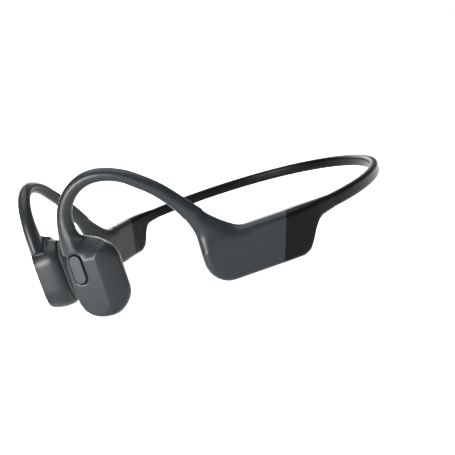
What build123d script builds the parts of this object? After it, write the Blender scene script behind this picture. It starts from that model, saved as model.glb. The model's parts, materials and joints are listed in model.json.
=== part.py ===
from build123d import *
import os
from math import atan2, cos, degrees, radians, sin, sqrt, tan

# Bone conduction headphones: a sprung neckband, two ear hooks with housings, two transducer pods.
# Millimetres. +X is the wearer's left, -Y the wearer's front, +Z up.
# The origin is on the table plane, below the middle of the outline.
# "Lane" is the line, seen from above, that the band, housings and hooks stand on. Its length s is
# counted from the widest place: forward is positive. "Out" is the distance from the lane, outward.

# ---- the lane ----
BAND_HALF_WIDTH = 58.1      # lane at its widest
BAND_DEPTH = 62.2           # widest place to the back of the lane
TEMPLE_RADIUS = 46.0        # first bend forward of the widest place
TEMPLE_TURN = radians(27)
STRAIGHT_RUN = 30.0         # straight stretch along the housing
CHEEK_RADIUS = 67.8         # bend above the ear, inward to the cheek

# ---- the neckband ----
BAND_THICKNESS = 3.3
BAND_HEIGHT = 4.7
BAND_BOTTOM = 10.7
BAND_RISE = 0.008           # rise of the band towards the back, per mm
FLEX_HALF_SPAN = 22.0       # the two flex joints are this far from the middle
FLEX_OPEN = 22.0            # degrees
FLEX_CLOSE = 2.5
FLEX_GAP = 0.12             # knuckle clearance
STRIP_THICKNESS = 0.9       # memory alloy strip
STRIP_HEIGHT = 1.6
LEAD_THICKNESS = 0.9        # flat lead above the strip
LEAD_HEIGHT = 0.8
LAYER_OFFSET = 0.9          # the strip lies this far below the band's middle
EMBED_GAP = 0.03            # round moulded-in pieces
SPLICE = 0.04               # the strip and lead are this much slimmer ahead of the band, each side

# ---- the housings ----
HOUSING_THICKNESS = 6.8
HOUSING_TOP = 16.2
HOUSING_FRONT = 47.6
HOUSING_FRONT_RADIUS = 8.0
HOUSING_EDGE = 2.3          # rounding of its long edges
BOOT_STATIONS = [           # s, bottom, top, thickness
    (0.15, 10.6, 15.4, 3.4),
    (3.0, 10.35, 15.6, 3.9),
    (6.0, 9.95, 15.8, 4.8),
    (8.0, 8.7, 15.95, 5.5),
    (10.0, 6.3, 16.05, 6.0),
    (12.0, 2.9, 16.15, 6.3),
    (13.6, 0.9, 16.2, 6.5),
]
SLAB_START = 16.0           # from here forward the housing keeps its section
SPLIT_TOP = 18.0            # parting line of boot and skin
SPLIT_BOTTOM = 23.5
SKIN_WALL = 0.8
FIT = 0.08                  # clearance of pieces put into one another
CHASSIS_REAR = 14.6
CHASSIS_FRONT = 44.6
CHASSIS_WALL = 0.6
LID_THICKNESS = 0.8

# ---- the ear hooks: s, z, width in the side view, thickness ----
HOOK_STATIONS = [
    (41.0, 11.5, 12.6, 6.4),
    (42.1, 17.0, 11.2, 6.3),
    (44.5, 20.4, 8.1, 5.9),
    (46.7, 24.5, 6.2, 5.4),
    (49.6, 28.9, 5.1, 4.9),
    (53.1, 33.4, 4.7, 4.6),
    (57.3, 37.6, 4.5, 4.5),
    (62.1, 41.4, 4.35, 4.4),
    (68.2, 44.2, 4.25, 4.3),
    (75.0, 44.6, 4.4, 4.3),
    (80.5, 42.3, 4.5, 4.4),
    (84.4, 38.3, 4.7, 4.5),
    (86.4, 33.5, 5.4, 4.8),
    (86.8, 28.6, 7.3, 5.2),
    (86.8, 23.0, 9.0, 5.4),
]
HOOK_WIRE = 1.0             # diameters
HOOK_LEAD = 0.8
WIRE_SPREAD = (HOOK_WIRE + HOOK_LEAD) / 4 + 0.1     # wire and lead lie this far either side of the middle

# ---- the pods: a plane across the cheek, u rearward, v up, depth from the lane outward ----
POD_STATION = 84.5
POD_TOE = radians(55)
POD_SECTIONS = [            # depth, width, height, middle u, middle v
    (2.5, 11.8, 23.0, 0.1, 13.1),
    (0.4, 16.8, 25.4, 2.6, 13.0),
    (-3.2, 16.3, 25.8, 1.75, 13.02),
    (-7.0, 14.2, 23.6, 1.5, 12.8),
]
POD_ROUNDNESS = 0.485       # corner radius over the section's width
POD_WALL = 0.9
POD_NECK = 25.9             # seam between hook skin and pod shell
PAD_DEPTH = 2.6
PAD_SHRINK = 3.6
CUP_FLOOR = -1.4            # depth of the cup's floor
CUP_WALL = 0.6
CUP_WIDTH = 12.2
CUP_HEIGHT = 21.2
COIL_U = 1.5
COIL_V = 11.4
YOKE_RADIUS = 5.3
MAGNET_RADIUS = 3.0
COIL_RADIUS = 3.6           # middle of the winding
COIL_WINDING = 0.6
AIR_GAP = 0.3
TRAVEL = 0.1                # the magnet's swing, each way

# ---- keys ----
BUTTON_LENGTH = 9.4
BUTTON_WIDTH = 4.0
BUTTON_U = -1.8
BUTTON_V = 17.9
BUTTON_PROUD = 0.35
BUTTON_TRAVEL = 0.25
BUTTON_LIP = 0.2            # the flange behind the face is this much wider
BUTTON_FLANGE = 0.32
KEY_GAP = 0.18
KEY_LENGTH = 4.6
KEY_WIDTH = 4.2
KEY_STEM = 1.8               # width inside the housing
KEY_MIDDLES = (29.8, 35.2)
KEY_TRAVEL = 0.2
KEY_FACE = 0.1              # height of the keys' faces above the table
KEY_CAP = 0.3

# ---- small parts in the underside ----
CONTACT_PLACES = (17.6, 20.8)
CONTACT_RADIUS = 0.8
LAMP_PLACE = 25.6
LAMP_RADIUS = 0.5
MICROPHONE_PLACE = 33.0
PIN_GAP = 0.05

BAND_MIDDLE_Z = BAND_BOTTOM + BAND_HEIGHT / 2
TEMPLE_LENGTH = TEMPLE_RADIUS * TEMPLE_TURN
HALF = HOUSING_THICKNESS / 2
UP = Vector(0, 0, 1)


def lane(s):
    """Place and heading of the lane at length s forward of its widest place."""
    turn = min(s, TEMPLE_LENGTH) / TEMPLE_RADIUS
    x = BAND_HALF_WIDTH - TEMPLE_RADIUS * (1 - cos(turn))
    y = -TEMPLE_RADIUS * sin(turn)
    run = min(max(s - TEMPLE_LENGTH, 0), STRAIGHT_RUN)
    x -= run * sin(turn)
    y -= run * cos(turn)
    bend = max(s - TEMPLE_LENGTH - STRAIGHT_RUN, 0) / CHEEK_RADIUS
    x -= CHEEK_RADIUS * (cos(turn) - cos(turn + bend))
    y -= CHEEK_RADIUS * (sin(turn + bend) - sin(turn))
    return x, y, turn + bend


def lane_point(s, z=0.0, out=0.0):
    x, y, turn = lane(s)
    return Vector(x + out * cos(turn), y - out * sin(turn), z)


# ---------------------------------------------------------------- housings

def lane_line(out, start, end):
    """The lane moved outward: an arc, then a straight."""
    if start >= TEMPLE_LENGTH:
        return [Line(lane_point(start, 0, out), lane_point(end, 0, out))]
    bend_end = min(end, TEMPLE_LENGTH)
    points = [lane_point(s, 0, out) for s in (start, (start + bend_end) / 2, bend_end)]
    line = [ThreePointArc(*points)]
    if end > TEMPLE_LENGTH:
        line.append(Line(points[2], lane_point(end, 0, out)))
    return line


def strip_along(inner, outer, start, end, low, high):
    """A wall that follows the lane between two offsets and two heights."""
    near, far = lane_line(inner, start, end), lane_line(outer, start, end)
    caps = [Line(near[0] @ 0, far[0] @ 0), Line(near[-1] @ 1, far[-1] @ 1)]
    face = make_face(near + far + caps)
    return extrude(Pos(0, 0, low) * face, amount=high - low, dir=UP)


def side_plane():
    """Side view of the housing: x forward along the straight run, y up."""
    turn = TEMPLE_TURN
    return Plane(lane_point(TEMPLE_LENGTH), x_dir=(-sin(turn), -cos(turn), 0), z_dir=(-cos(turn), sin(turn), 0))


def side(s):
    """Side view x of lane length s."""
    if s >= TEMPLE_LENGTH:
        return s - TEMPLE_LENGTH
    return -TEMPLE_RADIUS * sin((TEMPLE_LENGTH - s) / TEMPLE_RADIUS)


def side_prism(points, radii=None):
    """A prism across the housing from a side outline of (s, z) points, corners rounded."""
    corners = [(side(s), z) for s, z in points]
    outline = make_face(Polyline(*corners, close=True))
    for index, radius in (radii or {}).items():
        corner = Vector(*corners[index])
        vertex = outline.vertices().sort_by_distance(corner)[0]
        outline = fillet(vertex, radius)
    return extrude(side_plane() * outline, amount=40, both=True)


def bar(s0, s1, z0, z1, out0, out1):
    """A straight block in the housing's own directions."""
    middle = Plane(
        lane_point(TEMPLE_LENGTH + STRAIGHT_RUN / 2, 0, 0),
        x_dir=side_plane().x_dir,
        z_dir=side_plane().z_dir,
    )
    centre = TEMPLE_LENGTH + STRAIGHT_RUN / 2
    block = Box(s1 - s0, z1 - z0, out1 - out0)
    return middle * Pos((s0 + s1) / 2 - centre, (z0 + z1) / 2, -(out0 + out1) / 2) * block


def parting(ahead):
    """Everything ahead of the slanted parting line of boot and skin, or behind it."""
    reach = 60 if ahead else -60
    slope = (SPLIT_TOP - SPLIT_BOTTOM) / HOUSING_TOP
    low, high = SPLIT_BOTTOM - 5 * slope, SPLIT_TOP + 5 * slope
    corners = [(low, -5), (low + reach, -5), (high + reach, HOUSING_TOP + 5), (high, HOUSING_TOP + 5)]
    outline = make_face(Polyline(*[(s - TEMPLE_LENGTH, z) for s, z in corners], close=True))
    return extrude(side_plane() * outline, amount=40, both=True)


def housing_slab():
    """The housing ahead of the boot's neck, long edges and front corner rounded."""
    start = SLAB_START
    slab = strip_along(-HALF, HALF, start, HOUSING_FRONT + 1, -1, HOUSING_TOP + 1)
    front = [(start - 2, 0), (HOUSING_FRONT, 0), (HOUSING_FRONT, HOUSING_TOP), (start - 2, HOUSING_TOP)]
    slab &= side_prism(front, {1: HOUSING_FRONT_RADIUS})
    rear_face = slab.faces().sort_by_distance(lane_point(start, HOUSING_TOP / 2))[0]
    rear_edges = rear_face.edges()
    broad = [edge for edge in slab.edges() if abs(abs(out_of(edge @ 0.5)) - HALF) < 0.4]
    return fillet([edge for edge in broad if edge not in rear_edges], HOUSING_EDGE)


def out_of(point):
    """Distance of a point from the lane's housing stretch, outward."""
    local = side_plane().to_local_coords(point)
    if local.X >= 0:
        return -local.Z
    centre = BAND_HALF_WIDTH - TEMPLE_RADIUS
    return sqrt((point.X - centre) ** 2 + point.Y ** 2) - TEMPLE_RADIUS


def lane_section(s, low, high, thickness):
    """A rounded upright rectangle across the lane."""
    x, y, turn = lane(s)
    plane = Plane((x, y, (low + high) / 2), x_dir=(cos(turn), -sin(turn), 0), z_dir=(-sin(turn), -cos(turn), 0))
    corner = min(HOUSING_EDGE, HOUSING_EDGE * thickness / HOUSING_THICKNESS)
    return plane * RectangleRounded(thickness, high - low, corner)


def boot_body():
    """The boot, from the band's end to the parting line."""
    stations = BOOT_STATIONS + [(SLAB_START, 0.0, HOUSING_TOP, HOUSING_THICKNESS)]
    neck = loft([lane_section(*station) for station in stations], ruled=True)
    return neck + (housing_slab() & parting(False))


def chassis_block(half_outer, inset=0.0):
    """Full inside block of the chassis, closed at both ends."""
    rear, front = CHASSIS_REAR + inset, CHASSIS_FRONT - inset
    low, high = SKIN_WALL + FIT + inset, HOUSING_TOP - SKIN_WALL - FIT - inset
    body = strip_along(-half_outer, half_outer, rear, front, low, high)
    shape = side_prism([(rear, low), (front, low), (front, high), (rear, high)], {1: 6.5 - inset, 0: 1.5 - inset / 2})
    return body & shape


CHASSIS_HALF = HALF - SKIN_WALL - FIT


def housing_cavity():
    """Room for the chassis, shared by boot and skin."""
    grown = CHASSIS_HALF + FIT
    rear, front = CHASSIS_REAR - FIT, CHASSIS_FRONT + FIT
    low, high = SKIN_WALL, HOUSING_TOP - SKIN_WALL
    body = strip_along(-grown, grown, rear, front, low, high)
    return body & side_prism([(rear, low), (front, low), (front, high), (rear, high)], {1: 6.5 + FIT, 0: 1.5})


def band_channel(grow=0.0):
    """The strip and the lead where they run from the band into the chassis."""
    strip = strip_piece_front(grow)
    lead = lead_piece_front(grow)
    return strip + lead


STRIP_LOW = BAND_MIDDLE_Z - STRIP_HEIGHT / 2 - LAYER_OFFSET
LEAD_LOW = STRIP_LOW + STRIP_HEIGHT + 0.5


def strip_piece_front(grow=0.0):
    grow -= SPLICE
    half = STRIP_THICKNESS / 2 + grow
    return strip_along(-half, half, -0.4, CHASSIS_REAR + 2.2, STRIP_LOW - grow, STRIP_LOW + STRIP_HEIGHT + grow)


def lead_piece_front(grow=0.0):
    grow -= SPLICE
    half = LEAD_THICKNESS / 2 + grow
    return strip_along(-half, half, -0.4, CHASSIS_REAR + 1.6, LEAD_LOW - grow, LEAD_LOW + LEAD_HEIGHT + grow)


def boot():
    """Soft black cap that joins band and housing."""
    return boot_body() - housing_cavity() - band_channel(EMBED_GAP)


def tray_and_lid():
    """Hard chassis: a tray open to the inside, and its lid."""
    whole = chassis_block(CHASSIS_HALF)
    room = chassis_block(CHASSIS_HALF - CHASSIS_WALL, CHASSIS_WALL)
    inner_side = strip_along(-HALF, -CHASSIS_HALF + LID_THICKNESS, CHASSIS_REAR - 1, CHASSIS_FRONT + 1, -1, HOUSING_TOP + 1)
    tray = whole - room - inner_side - band_channel(FIT) - hook_bores(FIT)
    lid = whole & inner_side
    return tray, lid - hook_bores(FIT)


# ---------------------------------------------------------------- hooks

def hook_points(out=0.0, first=0):
    return [lane_point(s, z, out) for s, z, _, _ in HOOK_STATIONS[first:]]


def hook_body():
    """Lofted through ellipses that stand across the hook's middle line."""
    points = hook_points()
    sections = []
    for index, (s, z, width, thickness) in enumerate(HOOK_STATIONS):
        before, after = points[max(index - 1, 0)], points[min(index + 1, len(points) - 1)]
        along = (after - before).normalized()
        turn = lane(s)[2]
        out = Vector(cos(turn), -sin(turn), 0)
        across = along.cross(out).normalized()
        sections.append(Plane(points[index], x_dir=across, z_dir=along) * Ellipse(width / 2, thickness / 2))
    return loft(sections)


def arc_path(points):
    """Straight runs joined by tangent arcs as large as the runs allow."""
    radii = []
    for before, here, after in zip(points, points[1:], points[2:]):
        arriving, leaving = here - before, after - here
        half_turn = radians(arriving.get_angle(leaving)) / 2
        radii.append(0.45 * min(arriving.length, leaving.length) / tan(half_turn))
    return FilletPolyline(*points, radius=radii)


def tube(points, radius):
    path = arc_path(points)
    profile = Plane(path @ 0, z_dir=path % 0) * Circle(radius)
    return sweep(profile, path)


def wire_points():
    return [lane_point(41.6, 9.6, WIRE_SPREAD)] + hook_points(WIRE_SPREAD, 1)[:-1] + [lane_point(87.1, 22.6, WIRE_SPREAD)]


def hook_lead_points():
    return [lane_point(41.2, 8.2, -WIRE_SPREAD)] + hook_points(-WIRE_SPREAD, 1)[:-1] + [lane_point(87.1, 21.8, -WIRE_SPREAD)]


def hook_wire(grow=0.0):
    return tube(wire_points(), HOOK_WIRE / 2 + grow)


def hook_lead(grow=0.0):
    return tube(hook_lead_points(), HOOK_LEAD / 2 + grow)


def hook_bores(grow):
    return hook_wire(grow) + hook_lead(grow)


def below_neck(low=-5.0):
    """Everything round the pod up to the neck seam."""
    return pod_plane(0) * Pos(3, (POD_NECK + low) / 2, 0) * Box(36, POD_NECK - low, 34)


def arm_skin():
    """Grey moulding: housing front, ear hook, down to the pod's neck."""
    whole = (housing_slab() & parting(True)) + (hook_body() - below_neck())
    return whole - housing_cavity() - hook_bores(EMBED_GAP)


# ---------------------------------------------------------------- pods

def pod_plane(depth):
    x, y, _ = lane(POD_STATION)
    out = Vector(cos(POD_TOE), -sin(POD_TOE), 0)
    return Plane(Vector(x, y, 0) + out * depth, x_dir=(sin(POD_TOE), cos(POD_TOE), 0), z_dir=out)


def pod_section(depth, width, height, u, v):
    radius = POD_ROUNDNESS * min(width, height)
    return pod_plane(depth) * Pos(u, v) * RectangleRounded(width, height, radius)


def pod_outside():
    return loft([pod_section(*section) for section in POD_SECTIONS])


def pod_cavity():
    sections = []
    for index, (depth, width, height, u, v) in enumerate(POD_SECTIONS):
        inward = -POD_WALL if index == 0 else 0.0
        sections.append(pod_section(depth + inward, width - 2 * POD_WALL, height - 2 * POD_WALL, u, v))
    last = POD_SECTIONS[-1]
    sections.append(pod_section(last[0] - 1, last[1] - 2 * POD_WALL, last[2] - 2 * POD_WALL, last[3], last[4]))
    return loft(sections, ruled=True)


def button_prism(grow, low, high):
    shape = pod_plane(low) * Pos(BUTTON_U, BUTTON_V) * SlotOverall(BUTTON_LENGTH + 2 * grow, BUTTON_WIDTH + 2 * grow, 90)
    return extrude(shape, amount=high - low)


def pod_disc(radius, low, high, hole=0.0):
    shape = pod_plane(low) * Pos(COIL_U, COIL_V) * Circle(radius)
    disc = extrude(shape, amount=high - low)
    if hole:
        disc -= extrude(pod_plane(low) * Pos(COIL_U, COIL_V) * Circle(hole), amount=high - low)
    return disc


def pod_shell(with_button):
    shell = (pod_outside() + (hook_body() & below_neck(18))) & below_neck()
    shell -= pod_cavity()
    shell -= hook_bores(EMBED_GAP)
    if with_button:
        shell -= button_prism(KEY_GAP, 0, 4)
    return shell


def pod_pad():
    """Plate that rests on the cheekbone."""
    depth, width, height, u, v = POD_SECTIONS[-1]
    grown = [
        pod_section(depth - 0.05, width, height, u, v),
        pod_section(depth - PAD_DEPTH * 0.6, width - PAD_SHRINK * 0.35, height - PAD_SHRINK * 0.35, u, v),
        pod_section(depth - PAD_DEPTH, width - PAD_SHRINK, height - PAD_SHRINK, u, v),
    ]
    return loft(grown)


def cup_block(low, high, shrink=0.0):
    shape = pod_plane(low) * Pos(COIL_U, POD_SECTIONS[-1][4])
    shape = shape * RectangleRounded(CUP_WIDTH - shrink, CUP_HEIGHT - shrink, POD_ROUNDNESS * (CUP_WIDTH - shrink))
    return extrude(shape, amount=high - low)


def pod_cup():
    """Hard cup that carries the driver, its open side closed by the pad."""
    pad_face = POD_SECTIONS[-1][0]
    cup = cup_block(pad_face, CUP_FLOOR)
    return cup - cup_block(pad_face - 1, CUP_FLOOR - CUP_WALL, 2 * CUP_WALL) - hook_bores(FIT)


def driver():
    """Moving magnet driver: (name, solid) for each piece."""
    base = POD_SECTIONS[-1][0]
    coil_in = COIL_RADIUS - COIL_WINDING / 2
    coil_out = COIL_RADIUS + COIL_WINDING / 2
    carrier = pod_disc(YOKE_RADIUS - 0.2, base, base + 0.5) + pod_disc(coil_out, base, base + 0.9, coil_in)
    coil = pod_disc(coil_out, base + 0.9, base + 2.6, coil_in)
    pole_low = base + 0.5 + AIR_GAP
    pole = pod_disc(MAGNET_RADIUS, pole_low, pole_low + 0.8)
    magnet = pod_disc(MAGNET_RADIUS, pole_low + 0.8, pole_low + 2.4)
    yoke = pod_disc(YOKE_RADIUS, pole_low + 2.4, pole_low + 3.3)
    yoke += pod_disc(YOKE_RADIUS, pole_low + 0.2, pole_low + 2.4, coil_out + AIR_GAP)
    spring = suspension(pole_low + 3.3 + AIR_GAP / 2 + TRAVEL)
    return {"coil_carrier": carrier, "voice_coil": coil, "pole_plate": pole, "magnet": magnet, "yoke": yoke, "suspension": spring}


def suspension(low):
    """Leaf spring with three curved slots."""
    leaf = pod_disc(CUP_WIDTH / 2 - CUP_WALL - FIT, low, low + 0.15)
    slots = []
    for turn in (0, 120, 240):
        arc = CenterArc((0, 0), 4.0, turn, 85)
        slot = trace(arc, 0.6)
        slots.append(extrude(pod_plane(low) * Pos(COIL_U, COIL_V) * slot, amount=0.15))
    for slot in slots:
        leaf -= slot
    return leaf


def face_button():
    """Cap with a wider flange behind the face."""
    face = POD_SECTIONS[0][0]
    inner = face - POD_WALL
    cap = button_prism(0, inner - 0.1, face + BUTTON_PROUD)
    flange = button_prism(BUTTON_LIP, inner - FIT - BUTTON_FLANGE, inner - FIT)
    return cap + flange


def face_switch():
    """Switch under the button, and the small board behind it."""
    top = POD_SECTIONS[0][0] - POD_WALL - FIT - BUTTON_FLANGE - BUTTON_TRAVEL - 0.05
    plane = pod_plane(0) * Pos(BUTTON_U, BUTTON_V - 1.0)
    switch = plane * Pos(0, 0, top - 0.3) * Box(2.6, 3.0, 0.6)
    board = plane * Pos(0, 0, top - 0.6 - 0.2) * Box(3.8, 6.0, 0.4)
    return switch, board


# ---------------------------------------------------------------- neckband

def band_ring(half, low, high):
    """Half ellipse behind the widest place."""
    ring = Ellipse(BAND_HALF_WIDTH + half, BAND_DEPTH + half) - Ellipse(BAND_HALF_WIDTH - half, BAND_DEPTH - half)
    ring &= Pos(0, BAND_DEPTH) * Rectangle(4 * BAND_HALF_WIDTH, 2 * BAND_DEPTH)
    return extrude(Pos(0, 0, low) * ring, amount=high - low)


def flex_place():
    """Place and heading of the left flex joint."""
    y = BAND_DEPTH * sqrt(1 - (FLEX_HALF_SPAN / BAND_HALF_WIDTH) ** 2)
    slope = -(BAND_DEPTH / BAND_HALF_WIDTH) ** 2 * FLEX_HALF_SPAN / y
    return Vector(FLEX_HALF_SPAN, y, 0), atan2(slope, 1)


def flex_plane(along):
    """Upright plane across the band, moved along it; z points along the band to the arm."""
    place, heading = flex_place()
    direction = Vector(cos(heading), sin(heading), 0)
    return Plane(place + direction * along, x_dir=direction.cross(UP), z_dir=direction)


def half_space(along):
    """The block on the arm's side of the flex joint."""
    return flex_plane(along) * Pos(0, 0, 100) * Box(400, 400, 200)


def tilt(shape):
    """The band rises a little towards the back."""
    rise = degrees(atan2(BAND_RISE, 1))
    return Pos(0, 0, BAND_MIDDLE_Z) * Rot(rise, 0, 0) * Pos(0, 0, -BAND_MIDDLE_Z) * shape


def knuckle(radius, low, high):
    place, _ = flex_place()
    return Pos(place.X, place.Y, low) * extrude(Circle(radius), amount=high - low)


def band_layer(half, low, high):
    """One layer of the band, in three pieces: back, left arm's, right arm's."""
    ring = band_ring(half, low, high)
    round_end = knuckle(half, low, high)
    reach = BAND_THICKNESS / 2
    clear = reach * tan(radians(FLEX_OPEN)) + 0.1
    left = (ring & half_space(clear)) - knuckle(reach + FLEX_GAP, low - 1, high + 1)
    middle = (ring - half_space(0)) - mirror(half_space(0), about=Plane.YZ)
    middle = middle + round_end + mirror(round_end, about=Plane.YZ)
    return tilt(middle), tilt(left)


def band():
    """Sleeve, memory strip and lead, each (back, left)."""
    sleeve = band_layer(BAND_THICKNESS / 2, BAND_BOTTOM, BAND_BOTTOM + BAND_HEIGHT)
    strip = band_layer(STRIP_THICKNESS / 2, STRIP_LOW, STRIP_LOW + STRIP_HEIGHT)
    lead = band_layer(LEAD_THICKNESS / 2, LEAD_LOW, LEAD_LOW + LEAD_HEIGHT)
    return sleeve, strip, lead


def grown_band(half, low, high):
    """Channel for an embedded layer: the whole ring, grown, with room at the knuckles."""
    return tilt(band_ring(half + EMBED_GAP, low - EMBED_GAP, high + EMBED_GAP))


# ---------------------------------------------------------------- contents of the housings

def anchors():
    """Crimps that hold the band strip and the hook wire in the chassis."""
    rear = bar(CHASSIS_REAR + 0.9, CHASSIS_REAR + 3.9, STRIP_LOW - 1.2, STRIP_LOW + STRIP_HEIGHT + 0.35, -1.6, 0.6)
    front = bar(40.2, 43.4, 9.9, 13.6, -0.6, 1.5)
    return rear - band_channel(FIT), front - hook_bores(FIT)


def battery():
    cell = bar(20.5, 38.5, 2.0, 13.8, -1.5, 1.3)
    cell = fillet(cell.edges().filter_by(Axis.Z), 0.9)
    board = bar(20.5, 38.5, 13.9, 14.6, -1.4, 0.8)
    foam = bar(21.0, 38.0, 2.4, 13.4, 1.3, 1.75)
    return cell, board, foam


def main_board():
    board = bar(20.2, 39.6, 3.6, 13.9, -1.0, -0.3)
    chips = [
        bar(22.0, 27.0, 7.6, 12.6, -0.3, 0.6),
        bar(28.2, 31.2, 8.6, 11.6, -0.3, 0.5),
        bar(32.4, 34.6, 9.6, 11.6, -0.3, 0.9),
        bar(36.2, 38.8, 6.0, 13.0, -0.3, 0.7),
    ]
    switches = [bar(s - 1.5, s + 1.5, key_switch_low(), key_switch_low() + 1.4, -0.3, 1.2) for s in KEY_MIDDLES]
    return board, chips, switches


def tray_floor():
    return SKIN_WALL + FIT + CHASSIS_WALL


def key_flange_top():
    return tray_floor() + 0.05 + 0.4


def key_switch_low():
    return key_flange_top() + KEY_TRAVEL + 0.08


def volume_key(s):
    """Wide cap under the skin, stem through skin and tray, flange inside the tray."""
    reach = KEY_LENGTH / 2
    cap = bar(s - reach, s + reach, KEY_FACE, KEY_FACE + KEY_CAP, -KEY_WIDTH / 2, KEY_WIDTH / 2)
    stem = bar(s - reach + 0.5, s + reach - 0.5, KEY_FACE, key_flange_top(), -KEY_STEM / 2, KEY_STEM / 2)
    flange = bar(s - reach, s + reach, tray_floor() + 0.05, key_flange_top(), -KEY_STEM / 2 - 0.5, KEY_STEM / 2 + 0.5)
    return cap + stem + flange


def key_holes():
    """Recess in the underside and the two slots above it."""
    ends = (KEY_MIDDLES[0] - KEY_LENGTH / 2 - KEY_GAP, KEY_MIDDLES[1] + KEY_LENGTH / 2 + KEY_GAP)
    half = KEY_WIDTH / 2 + KEY_GAP
    holes = bar(ends[0], ends[1], -1, KEY_FACE + KEY_CAP + KEY_TRAVEL + 0.05, -half, half)
    for s in KEY_MIDDLES:
        reach = KEY_LENGTH / 2 - 0.5 + KEY_GAP
        holes += bar(s - reach, s + reach, -1, tray_floor() + 0.04, -KEY_STEM / 2 - KEY_GAP, KEY_STEM / 2 + KEY_GAP)
    return holes


def upright_pin(s, radius, low, high):
    return Pos(lane_point(s, low)) * extrude(Circle(radius), amount=high - low)


def contacts(grow=0.0):
    """Charging contacts through the boot's underside into the tray."""
    return [upright_pin(s, CONTACT_RADIUS + grow, 0.2 - 3 * (grow > 0), 2.4) for s in CONTACT_PLACES]


def lamp(grow=0.0):
    """Light guide of the status lamp."""
    return upright_pin(LAMP_PLACE, LAMP_RADIUS + grow, 0.1 - 3 * (grow > 0), 2.4)


def microphone():
    """Capsule on the tray's floor, and its sound hole through tray and skin."""
    s = MICROPHONE_PLACE
    capsule = bar(s - 1.6, s + 1.6, tray_floor() + 0.03, tray_floor() + 0.03 + 0.4, -1.0, 1.0)
    return capsule, upright_pin(s, 0.4, -1, tray_floor() + 0.02)


# ---------------------------------------------------------------- assembly

def mirrored(shape):
    return mirror(shape, about=Plane.YZ)


def build():
    nodes = {}
    sleeve, strip, lead = band()
    channel = grown_band(STRIP_THICKNESS / 2, STRIP_LOW, STRIP_LOW + STRIP_HEIGHT)
    channel += grown_band(LEAD_THICKNESS / 2, LEAD_LOW, LEAD_LOW + LEAD_HEIGHT)
    nodes["band_sleeve_back"] = sleeve[0] - channel
    left_pieces = {"band_sleeve": sleeve[1] - channel}
    nodes["band_strip_back"] = strip[0]
    nodes["band_lead_back"] = lead[0]
    left_pieces["band_strip"] = strip[1] + strip_piece_front()
    left_pieces["band_lead"] = lead[1] + lead_piece_front()

    tray, lid = tray_and_lid()
    rear_anchor, front_anchor = anchors()
    cup = pod_cup()
    left_boot = boot()
    left_pieces.update({
        "hook_wire": hook_wire(),
        "hook_lead": hook_lead(),
        "chassis_lid": lid,
        "band_anchor": rear_anchor,
        "hook_anchor": front_anchor,
        "pod_cup": cup,
        "pod_pad": pod_pad(),
    })
    left_pieces.update(driver())
    skin = arm_skin()

    for name, solid in left_pieces.items():
        nodes["left_" + name] = solid
        nodes["right_" + name] = mirrored(solid)
    capsule, sound_hole = microphone()
    nodes["left_microphone"] = capsule
    nodes["left_arm_skin"] = skin - sound_hole
    nodes["left_chassis_tray"] = tray - sound_hole
    nodes["left_boot"] = left_boot
    underside = key_holes() + contacts(PIN_GAP) + lamp(PIN_GAP)
    nodes["right_arm_skin"] = mirrored(skin - underside)
    nodes["right_chassis_tray"] = mirrored(tray - underside)
    nodes["right_boot"] = mirrored(left_boot - underside)
    nodes["right_contacts"] = Compound([mirrored(pin) for pin in contacts()])
    nodes["right_lamp"] = mirrored(lamp())
    nodes["left_pod_shell"] = pod_shell(True)
    nodes["right_pod_shell"] = mirrored(pod_shell(False))

    switch, board = face_switch()
    nodes["left_face_button"] = face_button()
    nodes["left_face_switch"] = switch
    nodes["left_face_board"] = board
    cell, cell_board, foam = battery()
    nodes["left_battery"] = cell
    nodes["left_battery_board"] = cell_board
    nodes["left_battery_foam"] = foam
    board, chips, switches = main_board()
    nodes["right_main_board"] = mirrored(board)
    nodes["right_chips"] = Compound([mirrored(chip) for chip in chips])
    nodes["right_volume_switches"] = Compound([mirrored(piece) for piece in switches])
    nodes["right_volume_up"] = mirrored(volume_key(KEY_MIDDLES[1]))
    nodes["right_volume_down"] = mirrored(volume_key(KEY_MIDDLES[0]))
    return nodes


def write(nodes):
    """Put the origin below the middle of the outline, and write one file per node."""
    box = Compound([solid for piece in nodes.values() for solid in piece.solids()]).bounding_box()
    shift = Pos(0, -(box.min.Y + box.max.Y) / 2, -box.min.Z)
    os.makedirs("parts", exist_ok=True)
    for name, piece in nodes.items():
        moved = shift * piece
        solids = moved.solids()
        export_step(solids[0] if len(solids) == 1 else Compound(solids), f"parts/{name}.step")
    place, heading = flex_place()
    print("shift", shift.position, "flex joint", place, "pod normal", cos(POD_TOE), -sin(POD_TOE), "nodes", len(nodes))


write(build())
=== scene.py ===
import bpy
import json
from math import cos, pi, radians, sin
from mathutils import Matrix, Vector


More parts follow.
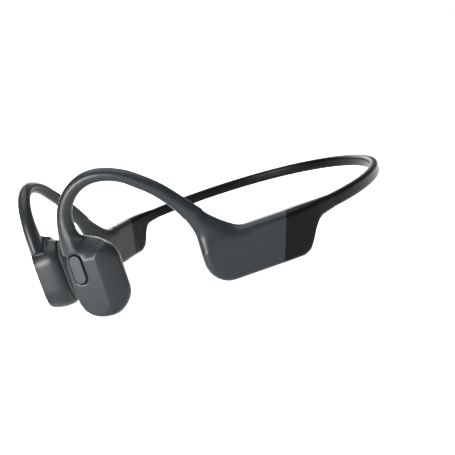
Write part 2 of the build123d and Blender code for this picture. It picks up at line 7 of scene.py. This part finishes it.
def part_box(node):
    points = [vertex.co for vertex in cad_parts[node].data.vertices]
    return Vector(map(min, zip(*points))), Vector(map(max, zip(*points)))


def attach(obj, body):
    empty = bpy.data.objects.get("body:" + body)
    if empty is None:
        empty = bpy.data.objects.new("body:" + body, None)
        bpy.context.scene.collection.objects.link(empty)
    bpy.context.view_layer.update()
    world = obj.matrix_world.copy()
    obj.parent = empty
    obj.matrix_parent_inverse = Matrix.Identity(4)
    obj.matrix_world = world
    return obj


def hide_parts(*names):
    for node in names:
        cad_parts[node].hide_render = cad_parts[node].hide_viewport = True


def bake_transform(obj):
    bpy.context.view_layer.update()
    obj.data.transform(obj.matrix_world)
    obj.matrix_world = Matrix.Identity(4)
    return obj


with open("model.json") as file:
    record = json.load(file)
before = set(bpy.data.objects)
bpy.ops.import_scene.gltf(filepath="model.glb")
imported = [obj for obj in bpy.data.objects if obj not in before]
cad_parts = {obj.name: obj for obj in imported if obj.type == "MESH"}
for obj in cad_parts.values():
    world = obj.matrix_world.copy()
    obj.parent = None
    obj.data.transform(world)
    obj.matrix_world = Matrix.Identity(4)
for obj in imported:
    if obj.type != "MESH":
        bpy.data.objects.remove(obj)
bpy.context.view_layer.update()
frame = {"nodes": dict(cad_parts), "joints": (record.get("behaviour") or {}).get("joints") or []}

MM = 0.001

# ---- the neckband, as the frame has it ----
BAND_THICKNESS = 3.3 * MM
BAND_HEIGHT = 4.7 * MM
BAND_HALF_WIDTH = 58.1 * MM
BAND_DEPTH = 62.2 * MM
BAND_BOTTOM = 10.7 * MM
BAND_RISE = 0.008              # height gained for each unit of length towards the back
BAND_EDGE = 1.15 * MM          # how far in the section's corners are rounded
SLEEVE_SPARE = radians(0.8)    # the half sleeve turns this much further, into the boot
LAP = 3.5 * MM                 # the half sleeve runs past the middle before it is cut there
FLEX_BEFORE = 20.5 * MM        # the band would bend over this much behind and ahead of a flex joint; flex marks the stretch out but bends nothing
FLEX_AFTER = 38.0 * MM

# ---- the housings, forward along their straight stretch ----
TEMPLE_RADIUS = 46.0 * MM
TEMPLE_TURN = radians(27)
HOUSING_TOP = 16.2 * MM
PARTING_TOP = -3.677 * MM      # the slanted line between boot and skin, at the housing's top
PARTING_BOTTOM = 1.823 * MM    # and at the table
SADDLE_ROOM = (8 * MM, 28 * MM, 11.5 * MM, 25 * MM)     # nearest, farthest, lowest, highest
SADDLE_CURVE = [               # ahead, height: the hollow between housing and ear hook
    (9.0, 16.0), (10.5, 16.25), (12.3, 16.65), (14.3, 17.5), (16.3, 18.9), (18.0, 20.6), (19.6, 22.4),
]
SADDLE_FOOT = 13.0             # millimetres, as the curve's points
SADDLE_HALF = 2.1
SADDLE_ROUNDS = 90
POD_TOE = radians(55)
POD_X = 18.203 * MM
POD_FROM_FRONT = 5.38 * MM
NECK_ROOM = (-0.5 * MM, 8 * MM, 22.5 * MM, 31 * MM)
NECK_CURVE = [                 # rearward, height: the hollow between ear hook and pod
    (-0.2, 30.2), (0.6, 28.8), (1.8, 27.5), (3.2, 26.6), (4.8, 26.0), (6.4, 25.3),
]
NECK_FOOT = 22.5
NECK_HALF = 1.9
NECK_ROUNDS = 70
NEARBY = 9 * MM                # smoothing stays this close to its line

# ---- the flat outer face of a pod ----
FACE_SIDE = 5.0 * MM
FACE_TOP = 20.5 * MM
FACE_SLOPE = 0.42
POD_REACH = 13 * MM
POD_KEPT_DEPTH = -5.5 * MM
POD_KEPT_TOP = 29 * MM
DEPTH_FADE = 3.5 * MM          # the face's shape dies out over these lengths
TOP_FADE = 3 * MM
SHOULDER_FADE = (-1 * MM, 3 * MM)
POD_ROOM = (-12 * MM, 14 * MM, -1 * MM, 27 * MM)
POD_ROUNDS = 4
BUTTON_KEPT_DEPTH = 1.75 * MM  # the button is cut off behind the face
KEY_CAP_TOP = 0.3 * MM         # and the volume keys above their caps

# ---- grain of each moulding's surface, and how often it is smoothed ----
ARM_GRAIN = 0.33 * MM
ARM_ROUNDS = 5
PAD_GRAIN = 0.28 * MM
PAD_ROUNDS = 5
BUTTON_GRAIN = 0.16 * MM
BUTTON_ROUNDS = 3
KEY_GRAIN = 0.14 * MM
KEY_ROUNDS = 2
SHARP_EDGE = radians(50)

SIDES = ("left", "right")


# ---------------------------------------------------------------- finishes

class Value:
    """One socket of a finish, so that shader maths reads as an expression."""

    def __init__(self, finish, socket):
        self.finish = finish
        self.socket = socket

    def maths(self, operation, first, second):
        return self.finish.node("ShaderNodeMath", {"operation": operation}, {0: first, 1: second})

    def __add__(self, other):
        return self.maths("ADD", self, other)

    def __radd__(self, other):
        return self.maths("ADD", other, self)

    def __mul__(self, other):
        return self.maths("MULTIPLY", self, other)

    def __rmul__(self, other):
        return self.maths("MULTIPLY", other, self)


class Finish:
    """A material and the nodes that make it."""

    def __init__(self, name):
        self.material = bpy.data.materials.new(name)
        self.material.use_nodes = True
        self.tree = self.material.node_tree
        self.shader = self.tree.nodes["Principled BSDF"]

    def feed(self, socket, value):
        if isinstance(value, Value):
            self.tree.links.new(value.socket, socket)
        else:
            socket.default_value = value

    def node(self, kind, settings=None, inputs=None, output=0):
        made = self.tree.nodes.new(kind)
        for name, value in (settings or {}).items():
            if name == "stops":
                ends = made.color_ramp.elements
                for stop, (place, grey) in zip(ends, value):
                    stop.position = place
                    stop.color = (grey, grey, grey, 1)
            else:
                setattr(made, name, value)
        for name, value in (inputs or {}).items():
            self.feed(made.inputs[name], value)
        return Value(self, made.outputs[output])

    def place(self):
        return self.node("ShaderNodeTexCoord", output="Object")

    def noise(self, scale, detail=2.0, vector=None):
        inputs = {"Vector": vector or self.place(), "Scale": scale, "Detail": detail}
        return self.node("ShaderNodeTexNoise", inputs=inputs)

    def ramp(self, value, low, high, start=0.0, end=1.0):
        return self.node("ShaderNodeValToRGB", {"stops": [(low, start), (high, end)]}, {"Fac": value})

    def tint(self, amount, first, second):
        settings = {"data_type": "RGBA"}
        inputs = {"Factor": amount, 6: (*first, 1), 7: (*second, 1)}
        return self.node("ShaderNodeMix", settings, inputs, 2)

    def bump(self, height, distance, strength=1.0):
        inputs = {"Height": height, "Distance": distance, "Strength": strength}
        return self.node("ShaderNodeBump", inputs=inputs)

    def set(self, **sockets):
        for name, value in sockets.items():
            self.feed(self.shader.inputs[name.replace("_", " ")], value)
        return self.material


def silicone(name, dark, light, rough, specular, grain=0.010):
    """Moulded silicone: fine grain, a faint cloudiness and a few specks of lint."""
    finish = Finish(name)
    fine = finish.noise(4200, 3.0)
    soft = finish.noise(900, 2.0)
    cloud = finish.noise(55, 3.0)
    lint = finish.ramp(finish.noise(2300, 1.0), 0.74, 0.80)
    colour = finish.tint(cloud * 0.8 + lint * 0.5, dark, light)
    return finish.set(
        Base_Color=colour,
        Roughness=rough - 0.05 + fine * 0.06 + cloud * 0.05,
        Normal=finish.bump(fine + soft * 0.5, grain * MM, 0.8),
        Specular_IOR_Level=specular,
    )


def moulded(name, dark, light, rough):
    """Hard plastic with a light spark texture."""
    finish = Finish(name)
    spark = finish.noise(2600, 4.0)
    return finish.set(
        Base_Color=finish.tint(finish.noise(120), dark, light),
        Roughness=rough + spark * 0.12,
        Normal=finish.bump(spark, 0.02 * MM, 0.7),
    )


def metal(name, dark, light, rough, stretch=(1, 1, 1)):
    """Metal with marks drawn out one way."""
    finish = Finish(name)
    drawn = finish.node("ShaderNodeMapping", inputs={"Vector": finish.place(), "Scale": stretch})
    marks = finish.noise(2400, 3.0, drawn)
    return finish.set(
        Base_Color=finish.tint(marks, dark, light),
        Roughness=rough + marks * 0.15,
        Normal=finish.bump(marks, 0.008 * MM, 0.8),
        Metallic=1.0,
    )


def board_finish():
    """Circuit board: solder resist over tracks, with pads here and there."""
    finish = Finish("circuit_board")
    tracks = finish.node("ShaderNodeTexBrick", inputs={"Vector": finish.place(), "Scale": 900.0}, output=1)
    pads = finish.ramp(finish.noise(1100, 0.0), 0.66, 0.68)
    return finish.set(
        Base_Color=finish.tint(tracks * 0.5 + pads, (0.005, 0.06, 0.03), (0.30, 0.26, 0.12)),
        Roughness=0.35 + pads * 0.1,
        Normal=finish.bump(tracks + pads, 0.02 * MM),
    )


def winding_finish():
    """Coil wound of fine enamelled wire."""
    finish = Finish("copper_winding")
    inputs = {"Vector": finish.place(), "Scale": 2200.0}
    turns = finish.node("ShaderNodeTexWave", {"bands_direction": "DIAGONAL"}, inputs)
    return finish.set(
        Base_Color=finish.tint(turns, (0.35, 0.10, 0.03), (0.80, 0.36, 0.16)),
        Roughness=0.3,
        Normal=finish.bump(turns, 0.03 * MM),
        Metallic=1.0,
    )


def foil_finish():
    """Crinkled pouch of the battery."""
    finish = Finish("pouch_foil")
    inputs = {"Vector": finish.place(), "Scale": 260.0}
    creases = finish.node("ShaderNodeTexVoronoi", {"feature": "DISTANCE_TO_EDGE"}, inputs)
    return finish.set(
        Base_Color=finish.tint(creases, (0.5, 0.5, 0.52), (0.75, 0.75, 0.77)),
        Roughness=0.28 + creases * 0.3,
        Normal=finish.bump(creases, 0.08 * MM),
        Metallic=1.0,
    )


def foam_finish():
    """Open cells of the battery's foam."""
    finish = Finish("cell_foam")
    cells = finish.node("ShaderNodeTexVoronoi", inputs={"Vector": finish.place(), "Scale": 3200.0})
    return finish.set(
        Base_Color=finish.tint(cells, (0.02, 0.02, 0.02), (0.14, 0.14, 0.14)),
        Roughness=0.95,
        Normal=finish.bump(cells, 0.15 * MM),
    )


def lamp_finish():
    """Hazy light guide."""
    finish = Finish("light_guide")
    haze = finish.noise(700)
    return finish.set(
        Base_Color=finish.tint(haze, (0.62, 0.63, 0.64), (0.82, 0.83, 0.84)),
        Roughness=0.15 + haze * 0.1,
        Normal=finish.bump(haze, 0.01 * MM),
    )


GREY = silicone("grey_silicone", (0.0080, 0.0100, 0.0113), (0.0125, 0.0150, 0.0166), 0.33, 0.21)
POD_GREY = silicone("pod_silicone", (0.024, 0.0275, 0.030), (0.034, 0.038, 0.042), 0.42, 0.5)
PAD_GREY = silicone("pad_silicone", (0.010, 0.012, 0.013), (0.018, 0.020, 0.022), 0.50, 0.34)
BLACK = silicone("black_silicone", (0.0010, 0.0010, 0.0010), (0.0020, 0.0020, 0.0021), 0.30, 0.09)
BUTTON = silicone("button_silicone", (0.013, 0.0155, 0.017), (0.018, 0.021, 0.023), 0.42, 0.26)
KEYS = silicone("key_silicone", (0.008, 0.008, 0.009), (0.016, 0.016, 0.017), 0.5, 0.4)
JACKET = silicone("lead_jacket", (0.03, 0.03, 0.03), (0.06, 0.06, 0.06), 0.5, 0.4)
PLASTIC = moulded("hard_plastic", (0.03, 0.03, 0.033), (0.055, 0.055, 0.06), 0.45)
CHIP = moulded("chip_package", (0.012, 0.012, 0.013), (0.03, 0.03, 0.032), 0.3)
BRASS = metal("crimp_brass", (0.45, 0.30, 0.12), (0.72, 0.55, 0.28), 0.3)
GOLD = metal("contact_gold", (0.75, 0.52, 0.20), (0.92, 0.70, 0.34), 0.18)
ALLOY = metal("memory_alloy", (0.35, 0.35, 0.34), (0.62, 0.62, 0.60), 0.25, (0.1, 1, 6))
NICKEL = metal("magnet_plating", (0.60, 0.60, 0.61), (0.80, 0.80, 0.81), 0.12)
IRON = metal("soft_iron", (0.30, 0.30, 0.31), (0.48, 0.48, 0.49), 0.35)
SPRING = metal("spring_steel", (0.45, 0.45, 0.45), (0.68, 0.68, 0.68), 0.2, (1, 6, 1))

NODE_FINISHES = {
    "band_strip": ALLOY, "band_lead": JACKET, "hook_wire": ALLOY, "hook_lead": JACKET,
    "chassis_tray": PLASTIC, "chassis_lid": PLASTIC, "band_anchor": BRASS, "hook_anchor": BRASS,
    "pod_cup": PLASTIC, "coil_carrier": PLASTIC, "voice_coil": winding_finish(), "pole_plate": IRON,
    "magnet": NICKEL, "yoke": IRON, "suspension": SPRING, "face_switch": CHIP, "face_board": board_finish(),
    "battery_foam": foam_finish(), "battery_board": board_finish(), "battery": foil_finish(),
    "microphone": CHIP, "main_board": board_finish(), "chips": CHIP, "volume_switches": CHIP,
    "contacts": GOLD, "lamp": lamp_finish(), "face_button": BUTTON, "volume_up": KEYS, "volume_down": KEYS,
    "boot": BLACK, "arm_skin": GREY, "pod_shell": POD_GREY, "pod_pad": PAD_GREY, "band_sleeve": BLACK,
}


def dress(piece, finish):
    piece.data.materials.clear()
    piece.data.materials.append(finish)


for node_name, node in frame["nodes"].items():
    fitting = [part for part in NODE_FINISHES if part in node_name]
    dress(node, NODE_FINISHES[max(fitting, key=len)])


# ---------------------------------------------------------------- modelling

def sign_of(hand):
    """1 on the wearer's left, where x is positive, and -1 on the right."""
    return 1 if hand == "left" else -1


def widest_place():
    """How far back the band is at its widest."""
    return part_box("band_sleeve_back")[1].y - BAND_DEPTH - BAND_THICKNESS / 2


def alone(piece):
    """Only this piece selected and active."""
    bpy.ops.object.select_all(action="DESELECT")
    piece.select_set(True)
    bpy.context.view_layer.objects.active = piece


def copied(node_name, name):
    """A merged copy of a frame node, ready to be shaped."""
    piece = frame["nodes"][node_name].copy()
    piece.data = piece.data.copy()
    for key in list(piece.keys()):
        del piece[key]
    piece.parent = None
    piece.hide_render = False
    piece.hide_viewport = False
    piece.name = name
    piece.data.name = name
    bpy.context.scene.collection.objects.link(piece)
    alone(piece)
    bpy.ops.object.mode_set(mode="EDIT")
    bpy.ops.mesh.select_all(action="SELECT")
    bpy.ops.mesh.remove_doubles(threshold=0.001 * MM)
    bpy.ops.object.mode_set(mode="OBJECT")
    return piece


def modifier(piece, kind, **settings):
    """Adds a modifier and applies it."""
    alone(piece)
    made = piece.modifiers.new(kind.lower(), kind)
    for name, value in settings.items():
        setattr(made, name, value)
    bpy.ops.object.modifier_apply(modifier=made.name)


def softened(piece, grain, rounds):
    """Even, rounded surface of a moulded piece."""
    modifier(piece, "REMESH", mode="VOXEL", voxel_size=grain)
    modifier(piece, "SMOOTH", factor=0.5, iterations=rounds)
    bpy.ops.object.shade_smooth()


def ease(piece, start, along, room, rounds):
    """More smoothing between two distances along a line and two heights, near that line."""
    nearest, farthest, low, high = room
    alone(piece)
    bpy.ops.object.mode_set(mode="EDIT")
    bpy.ops.mesh.select_all(action="DESELECT")
    bpy.ops.object.mode_set(mode="OBJECT")
    for vertex in piece.data.vertices:
        away = vertex.co - start
        beside = abs(away.cross(along).z) < NEARBY
        vertex.select = beside and nearest < away.dot(along) < farthest and low < vertex.co.z < high
    bpy.ops.object.mode_set(mode="EDIT")
    bpy.ops.mesh.select_mode(type="VERT")
    bpy.ops.mesh.vertices_smooth(factor=0.5, repeat=rounds)
    bpy.ops.object.mode_set(mode="OBJECT")


def half_sleeve(sign):
    """Half of the neckband's sleeve, spun from its section at the back of the band."""
    centre = Vector((0, widest_place(), BAND_BOTTOM + BAND_HEIGHT / 2))
    start = centre + Vector((0, BAND_DEPTH, 0))
    lap = LAP / BAND_DEPTH
    bpy.ops.object.select_all(action="DESELECT")
    bpy.ops.mesh.primitive_plane_add(size=1, location=start, rotation=(0, radians(90), 0))
    sleeve = bpy.context.object
    sleeve.name = "half_sleeve"
    bpy.ops.object.transform_apply(location=True, rotation=True, scale=True)
    bpy.ops.object.mode_set(mode="EDIT")
    bpy.ops.mesh.select_all(action="SELECT")
    bpy.ops.transform.resize(value=(1, BAND_THICKNESS, BAND_HEIGHT), center_override=start)
    bpy.ops.mesh.bevel(offset=BAND_EDGE, segments=5, affect="VERTICES")
    bpy.ops.mesh.delete(type="ONLY_FACE")
    bpy.ops.mesh.select_all(action="SELECT")
    bpy.ops.transform.rotate(value=-sign * lap, orient_axis="Z", center_override=centre)
    bpy.ops.mesh.spin(steps=64, angle=sign * (pi / 2 + lap + SLEEVE_SPARE), center=centre, axis=(0, 0, 1))
    bpy.ops.mesh.select_all(action="SELECT")
    bpy.ops.mesh.remove_doubles(threshold=0.002 * MM)
    bpy.ops.mesh.fill_holes(sides=0)
    bpy.ops.mesh.select_all(action="SELECT")
    bpy.ops.mesh.normals_make_consistent(inside=False)
    bpy.ops.object.mode_set(mode="OBJECT")
    return sleeve, centre


def squeeze_to_width(sleeve, centre):
    """Turns the round sleeve into the band's half ellipse, its wall kept as thick."""
    for vertex in sleeve.data.vertices:
        radius = (Vector((vertex.co.x, vertex.co.y, 0)) - Vector((0, centre.y, 0))).length
        vertex.co.x *= (radius - BAND_DEPTH + BAND_HALF_WIDTH) / radius
        vertex.co.z += BAND_RISE * (vertex.co.y - centre.y)


def cut(piece, place, normal):
    """Keeps what is behind the plane, and closes the cut."""
    alone(piece)
    bpy.ops.object.mode_set(mode="EDIT")
    bpy.ops.mesh.select_all(action="SELECT")
    bpy.ops.mesh.bisect(plane_co=place, plane_no=normal, clear_outer=True)
    bpy.ops.mesh.select_all(action="SELECT")
    bpy.ops.mesh.fill_holes(sides=0)
    bpy.ops.mesh.select_all(action="SELECT")
    bpy.ops.mesh.quads_convert_to_tris()
    bpy.ops.object.mode_set(mode="OBJECT")
    bpy.ops.object.shade_smooth_by_angle(angle=SHARP_EDGE)


def joined(pieces, name):
    """The pieces as one object under a new name."""
    bpy.ops.object.select_all(action="DESELECT")
    for piece in pieces:
        piece.select_set(True)
    bpy.context.view_layer.objects.active = pieces[0]
    bpy.ops.object.join()
    pieces[0].name = name
    return pieces[0]


def twin(piece, name):
    """A copy of the piece with its own mesh."""
    alone(piece)
    bpy.ops.object.duplicate()
    bpy.context.object.name = name
    return bpy.context.object


def side_view(hand):
    """Origin and forward direction of the housing's straight stretch."""
    sign = sign_of(hand)
    x = BAND_HALF_WIDTH - TEMPLE_RADIUS * (1 - cos(TEMPLE_TURN))
    y = widest_place() - TEMPLE_RADIUS * sin(TEMPLE_TURN)
    return Vector((sign * x, y, 0)), Vector((-sign * sin(TEMPLE_TURN), -cos(TEMPLE_TURN), 0))


def web(start, along, curve, foot, half):
    """Plate across the moulding, its top edge a hollow curve of (along, height) points."""
    across = along.cross(Vector((0, 0, 1)))
    columns = len(curve) - 1
    bpy.ops.object.select_all(action="DESELECT")
    bpy.ops.mesh.primitive_grid_add(x_subdivisions=columns, y_subdivisions=1, size=1)
    plate = bpy.context.object
    for vertex in plate.data.vertices:
        place, height = curve[round((vertex.co.x + 0.5) * columns)]
        rise = height if vertex.co.y > 0 else foot
        vertex.co = start + along * place * MM + Vector((0, 0, rise * MM)) - across * half * MM
    bpy.ops.object.mode_set(mode="EDIT")
    bpy.ops.mesh.select_all(action="SELECT")
    bpy.ops.mesh.extrude_region_move(TRANSFORM_OT_translate={"value": across * 2 * half * MM})
    bpy.ops.mesh.select_all(action="SELECT")
    bpy.ops.mesh.normals_make_consistent(inside=False)
    bpy.ops.object.mode_set(mode="OBJECT")
    return plate


def pod_view(hand):
    """Foot of the pod's middle line and its rearward direction."""
    sign = sign_of(hand)
    low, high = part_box(hand + "_pod_shell")
    start = Vector((sign * POD_X, low.y + POD_FROM_FRONT, 0))
    return start, Vector((sign * sin(POD_TOE), cos(POD_TOE), 0))


def fade(value, low, high):
    """0 below low, 1 above high, and smooth between."""
    share = min(max((value - low) / (high - low), 0), 1)
    return share * share * (3 - 2 * share)


def face_pod(piece, foot, rearward):
    """Sets back the pod's wall behind its flat outer face, and the shoulder above the face."""
    out = rearward.cross(Vector((0, 0, 1)))
    out *= 1 if out.y < 0 else -1
    for vertex in piece.data.vertices:
        away = vertex.co - foot
        depth = away.dot(out)
        beside = away.dot(rearward)
        if abs(beside) > POD_REACH or depth < POD_KEPT_DEPTH or vertex.co.z > POD_KEPT_TOP:
            continue
        wall = max(beside - FACE_SIDE, 0) * FACE_SLOPE
        shoulder = max(vertex.co.z - FACE_TOP, 0) * FACE_SLOPE * fade(beside, *SHOULDER_FADE)
        amount = fade(depth, POD_KEPT_DEPTH, POD_KEPT_DEPTH + DEPTH_FADE)
        amount *= 1 - fade(vertex.co.z, POD_KEPT_TOP - TOP_FADE, POD_KEPT_TOP)
        vertex.co -= out * max(wall, shoulder) * amount


def flex(piece, hand):
    """Bakes the piece's placement into its mesh; the stretch around the band's flex joint is found, but
    nothing is bent.
    """
    sign = sign_of(hand)
    hinge = [joint for joint in frame["joints"] if joint["name"] == hand + "_band_flex"][0]
    place = Vector(hinge["pos_m"])
    radial = Vector((place.x / BAND_HALF_WIDTH ** 2, (place.y - widest_place()) / BAND_DEPTH ** 2, 0))
    along = Vector((radial.y, -radial.x, 0)).normalized() * sign
    start = place - along * FLEX_BEFORE
    end = place + along * FLEX_AFTER
    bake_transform(piece)


def flexing_core(hand, layer, finish):
    """Half of the strip or the lead in the band, cut at the middle."""
    nodes = ["band_" + layer + "_back", hand + "_band_" + layer]
    core = joined([copied(node, node + "_copy") for node in nodes], hand + "_" + layer + "_core")
    sign = sign_of(hand)
    cut(core, Vector((0, 0, 0)), Vector((-sign, 0, 0)))
    dress(core, finish)
    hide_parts(*nodes)
    flex(core, hand)


def arm_moulding(hand):
    """Half neckband, boot, housing skin, ear hook and pod, rounded as one and parted at the slanted line."""
    sign = sign_of(hand)
    sleeve, centre = half_sleeve(sign)
    squeeze_to_width(sleeve, centre)
    parts = [copied(hand + end, hand + end + "_copy") for end in ("_boot", "_arm_skin", "_pod_shell")]
    start, forward = side_view(hand)
    foot, rearward = pod_view(hand)
    saddle = web(start, forward, SADDLE_CURVE, SADDLE_FOOT, SADDLE_HALF)
    neck = web(foot, rearward, NECK_CURVE, NECK_FOOT, NECK_HALF)
    whole = joined([sleeve, saddle, neck] + parts, hand + "_moulding")
    softened(whole, ARM_GRAIN, ARM_ROUNDS)
    ease(whole, start, forward, SADDLE_ROOM, SADDLE_ROUNDS)
    ease(whole, foot, rearward, NECK_ROOM, NECK_ROUNDS)
    face_pod(whole, foot, rearward)
    ease(whole, foot, rearward, POD_ROOM, POD_ROUNDS)
    top = start + forward * PARTING_TOP + Vector((0, 0, HOUSING_TOP))
    slope = (forward * (PARTING_BOTTOM - PARTING_TOP) - Vector((0, 0, HOUSING_TOP))).normalized()
    level = forward.cross(Vector((0, 0, 1)))
    ahead = slope.cross(level).normalized()
    ahead *= 1 if ahead.dot(forward) > 0 else -1
    skin = twin(whole, hand + "_hook_and_pod_skin")
    cut(skin, top, -ahead)
    whole.name = hand + "_band_and_boot"
    cut(whole, top, ahead)
    cut(whole, Vector((0, 0, 0)), Vector((-sign, 0, 0)))
    dress(whole, BLACK)
    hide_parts(hand + "_boot", hand + "_band_sleeve", "band_sleeve_back")
    flex(whole, hand)
    dress(skin, GREY)
    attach(skin, hand + "_arm")
    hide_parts(hand + "_arm_skin", hand + "_pod_shell")


def moulding(node_name, name, body, finish, grain, rounds):
    """A softened piece that stands for one frame node."""
    piece = copied(node_name, name)
    softened(piece, grain, rounds)
    dress(piece, finish)
    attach(piece, body)
    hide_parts(node_name)
    return piece


for hand in SIDES:
    arm_moulding(hand)
    moulding(
        hand + "_pod_pad", hand + "_cheek_pad", hand + "_arm", PAD_GREY, PAD_GRAIN, PAD_ROUNDS
    )
    flexing_core(hand, "strip", ALLOY)
    flexing_core(hand, "lead", JACKET)
button = moulding(
    "left_face_button", "left_slot_button", "face_button", BUTTON, BUTTON_GRAIN, BUTTON_ROUNDS
)
pod_foot, pod_rearward = pod_view("left")
outward = Vector((pod_rearward.y, -pod_rearward.x, 0))
cut(button, pod_foot + outward * BUTTON_KEPT_DEPTH, -outward)
for direction in ("up", "down"):
    node_name = "right_volume_" + direction
    key = moulding(node_name, node_name + "_key", "volume_" + direction, KEYS, KEY_GRAIN, KEY_ROUNDS)
    cut(key, Vector((0, 0, KEY_CAP_TOP)), Vector((0, 0, 1)))


# ---------------------------------------------------------------- stage, light, camera

FLOOR_SIZE = 60
FLOOR_GLOW = 0.72
ROOM_SEEN = 1.0                # strength of the white surroundings as seen
ROOM_LIGHT = 0.32              # and as a light
VIEW_PLACE = Vector((216.04, -145.58, 56.88)) * MM
VIEW_AIM = Vector((-0.08, 4.09, 5.74)) * MM
VIEW_ROLL = radians(-17.25)
LENS = 52.5
SENSOR_WIDTH = 36
NEAREST_SEEN = 0.01


def stage_finish():
    """White floor that glows a little, so that its shadows stay faint."""
    finish = Finish("pale_floor")
    tone = finish.noise(3, 2.0)
    return finish.set(
        Base_Color=finish.tint(tone, (0.94, 0.94, 0.94), (0.96, 0.96, 0.96)),
        Roughness=0.8,
        Emission_Color=(1, 1, 1, 1),
        Emission_Strength=FLOOR_GLOW,
    )


bpy.ops.object.select_all(action="DESELECT")
bpy.ops.mesh.primitive_plane_add(size=FLOOR_SIZE, location=(0, 0, 0))
floor = bpy.context.object
floor.name = "floor"
dress(floor, stage_finish())

world = bpy.data.worlds.new("studio")
bpy.context.scene.world = world
world.use_nodes = True
backdrop = world.node_tree.nodes["Background"]
backdrop.inputs["Color"].default_value = (1, 1, 1, 1)
seen = world.node_tree.nodes.new("ShaderNodeLightPath")
strength = world.node_tree.nodes.new("ShaderNodeMapRange")
strength.inputs["To Min"].default_value = ROOM_LIGHT
strength.inputs["To Max"].default_value = ROOM_SEEN
world.node_tree.links.new(seen.outputs["Is Camera Ray"], strength.inputs["Value"])
world.node_tree.links.new(strength.outputs["Result"], backdrop.inputs["Strength"])


def soft_light(name, place, aim, width, height, power):
    """A rectangular lamp that isn't seen itself."""
    bpy.ops.object.light_add(type="AREA", location=place)
    light = bpy.context.object
    light.name = name
    light.data.shape = "RECTANGLE"
    light.data.size = width
    light.data.size_y = height
    light.data.energy = power
    light.rotation_euler = (Vector(aim) - Vector(place)).to_track_quat("-Z", "Y").to_euler()
    light.visible_camera = False


soft_light("overhead", place=(0.05, 0.05, 0.75), aim=(0, 0.02, 0), width=0.9, height=0.9, power=8)
soft_light("front", place=(0.19, -0.78, 0.13), aim=(0, -0.05, 0.01), width=0.5, height=0.24, power=13)
soft_light("behind", place=(-0.75, 0.30, 0.30), aim=(0, 0.02, 0.02), width=0.9, height=0.35, power=4)

bpy.ops.object.camera_add(location=VIEW_PLACE)
camera = bpy.context.object
turn = (VIEW_AIM - VIEW_PLACE).to_track_quat("-Z", "Y").to_matrix().to_4x4()
camera.matrix_world = Matrix.Translation(VIEW_PLACE) @ turn @ Matrix.Rotation(VIEW_ROLL, 4, "Z")
camera.data.lens = LENS
camera.data.sensor_width = SENSOR_WIDTH
camera.data.clip_start = NEAREST_SEEN
bpy.context.scene.camera = camera
bpy.context.scene.view_settings.view_transform = "Standard"
